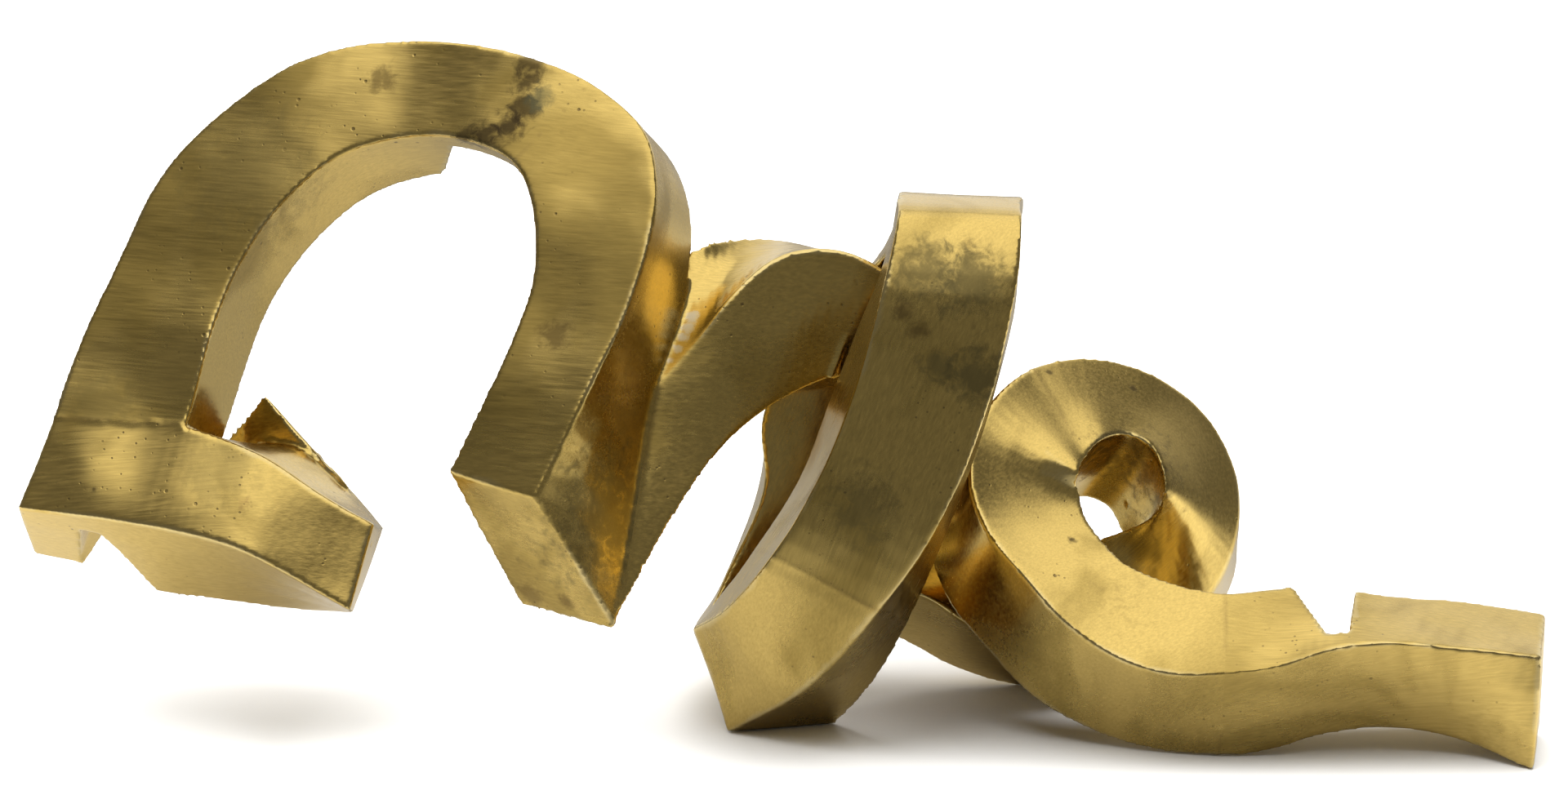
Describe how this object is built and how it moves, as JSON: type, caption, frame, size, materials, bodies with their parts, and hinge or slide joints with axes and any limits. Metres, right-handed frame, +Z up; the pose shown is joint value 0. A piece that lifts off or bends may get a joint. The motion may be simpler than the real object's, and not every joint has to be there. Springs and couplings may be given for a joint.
{
  "type": "metal ring disentanglement puzzle",
  "caption": "Thick square cast brass bar shaped as a hook, a tall arch, a lower arch, a coil and a wavy tail, threaded through a closed elongated ring that stands on its ground foot.",
  "frame": {"origin": "middle of the bottom of the whole object's box, on the floor", "axes": "+X along the bar from the hook to the sawn tail, +Y towards the back, +Z up"},
  "size_m": [0.3714, 0.1116, 0.1625],
  "materials": {
    "bar_brass": "brushed and part polished cast brass with an olive patina",
    "hook_brass": "polished cast brass with an olive patina",
    "tail_brass": "brushed cast brass with a rough sawn end",
    "ring_brass": "brushed cast brass with worn bright edges"
  },
  "bodies": {
    "bar": {"hook_front_arm": "hook_brass", "hook_rear_arm": "hook_brass", "arch_rising_leg": "bar_brass", "arch_drop_leg": "bar_brass", "second_arch": "bar_brass", "descending_bar": "bar_brass", "back_sweep": "bar_brass", "coil": "bar_brass", "front_sweep": "bar_brass", "tail": "tail_brass"},
    "ring": {"ring_back_leg": "ring_brass", "ring_front_blade": "ring_brass", "ring_foot": "ring_brass"}
  },
  "joints": [
    {"name": "ring_turn", "type": "hinge", "parent": "bar", "child": "ring", "pos_m": [0.024, 0.006, 0.096], "axis": [0, 0, 1], "range_deg": [-11, 3]}
  ]
}
